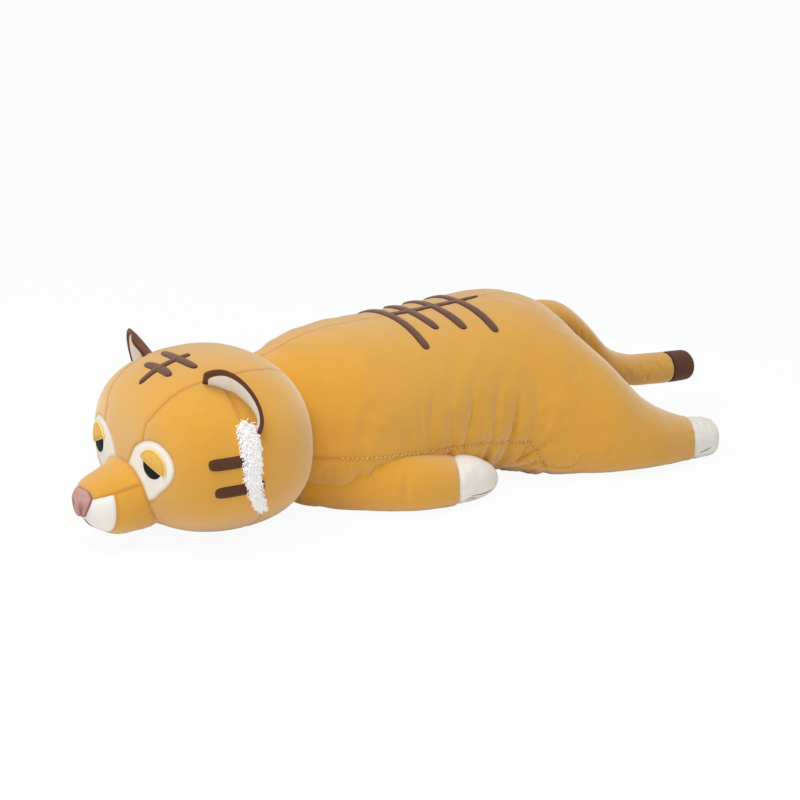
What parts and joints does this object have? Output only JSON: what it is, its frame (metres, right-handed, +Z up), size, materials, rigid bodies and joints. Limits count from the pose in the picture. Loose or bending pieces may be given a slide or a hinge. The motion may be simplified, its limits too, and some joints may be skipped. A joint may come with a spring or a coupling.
{
  "type": "plush tiger",
  "caption": "Long stuffed toy tiger lying flat on its belly with the chin on the floor, soft legs and tail stretched behind, striped back and a strip of fur on each cheek.",
  "frame": {"origin": "on the floor, under the middle of the toy's bounding box", "axes": "+Z up, the head points along -Y and the tail along +Y, and the tiger's own left side is +X"},
  "size_m": [0.4006, 1.0126, 0.234],
  "materials": {
    "golden_plush": "short-pile plush, golden yellow",
    "brown_plush": "short-pile plush, dark brown",
    "cream_plush": "short-pile plush, cream white",
    "white_fur": "long-pile white fur",
    "white_felt": "white felt and embroidery",
    "black_thread": "black embroidery",
    "nose_plush": "dusty pink plush",
    "stuffing": "white fibre filling"
  },
  "bodies": {
    "body": {"belly_panel": "golden_plush", "side_panel_left": "golden_plush", "side_panel_right": "golden_plush", "body_stuffing": "stuffing", "back_stripes": "brown_plush"},
    "head": {"head_crown": "golden_plush", "cheek_left": "golden_plush", "nape_left": "golden_plush", "cheek_right": "golden_plush", "nape_right": "golden_plush", "head_stuffing": "stuffing", "muzzle_top": "golden_plush", "muzzle_side_left": "golden_plush", "lip_left": "cream_plush", "muzzle_side_right": "golden_plush", "lip_right": "cream_plush", "muzzle_stuffing": "stuffing", "nose": "nose_plush", "eye_patch_left": "white_felt", "eye_disc_left": "white_felt", "pupil_left": "black_thread", "eyelid_left": "golden_plush", "eye_patch_right": "white_felt", "eye_disc_right": "white_felt", "pupil_right": "black_thread", "eyelid_right": "golden_plush", "forehead_mark": "brown_plush", "fur_strip_left": "white_fur", "cheek_stripe_upper_left": "brown_plush", "cheek_stripe_lower_left": "brown_plush", "fur_strip_right": "white_fur", "cheek_stripe_upper_right": "brown_plush", "cheek_stripe_lower_right": "brown_plush"},
    "ear_left": {"ear_back_left": "brown_plush", "ear_lining_left": "cream_plush"},
    "ear_right": {"ear_back_right": "brown_plush", "ear_lining_right": "cream_plush"},
    "front_leg_left": {"front_leg_left_cover": "golden_plush", "front_leg_left_paw": "cream_plush", "front_leg_left_stuffing": "stuffing"},
    "front_leg_right": {"front_leg_right_cover": "golden_plush", "front_leg_right_paw": "cream_plush", "front_leg_right_stuffing": "stuffing"},
    "hind_leg_left": {"hind_leg_left_cover": "golden_plush", "hind_leg_left_paw": "cream_plush", "hind_leg_left_stuffing": "stuffing"},
    "hind_leg_right": {"hind_leg_right_cover": "golden_plush", "hind_leg_right_paw": "cream_plush", "hind_leg_right_stuffing": "stuffing"},
    "tail": {"tail_cover": "golden_plush", "tail_tip": "brown_plush", "tail_stuffing": "stuffing"}
  },
  "joints": [
    {"name": "head_turn", "type": "hinge", "parent": "body", "child": "head", "pos_m": [0, -0.24168, 0], "axis": [0, 0, 1], "range_deg": [-8, 8], "stiffness_Nm_per_rad": 2},
    {"name": "front_leg_left_swing", "type": "hinge", "parent": "body", "child": "front_leg_left", "pos_m": [0.084, -0.14168, 0], "axis": [0, 0, -1], "range_deg": [0, 25], "stiffness_Nm_per_rad": 0.6},
    {"name": "front_leg_right_swing", "type": "hinge", "parent": "body", "child": "front_leg_right", "pos_m": [-0.084, -0.14168, 0], "axis": [0, 0, 1], "range_deg": [0, 25], "stiffness_Nm_per_rad": 0.6},
    {"name": "hind_leg_left_swing", "type": "hinge", "parent": "body", "child": "hind_leg_left", "pos_m": [0.074, 0.15632, 0], "axis": [0, 0, -1], "range_deg": [0, 10], "stiffness_Nm_per_rad": 1.2},
    {"name": "hind_leg_right_swing", "type": "hinge", "parent": "body", "child": "hind_leg_right", "pos_m": [-0.074, 0.15632, 0], "axis": [0, 0, 1], "range_deg": [0, 10], "stiffness_Nm_per_rad": 1.2},
    {"name": "tail_swing", "type": "hinge", "parent": "body", "child": "tail", "pos_m": [0, 0.25832, 0], "axis": [0, 0, 1], "range_deg": [-12, 12], "stiffness_Nm_per_rad": 0.5},
    {"name": "ear_left_fold", "type": "hinge", "parent": "head", "child": "ear_left", "pos_m": [0.11608, -0.33574, 0.19], "axis": [0.7975, 0.0418, -0.6018], "range_deg": [-12, 12], "stiffness_Nm_per_rad": 0.05},
    {"name": "ear_right_fold", "type": "hinge", "parent": "head", "child": "ear_right", "pos_m": [-0.10561, -0.34735, 0.19], "axis": [-0.7975, -0.0418, -0.6018], "range_deg": [-12, 12], "stiffness_Nm_per_rad": 0.05}
  ]
}
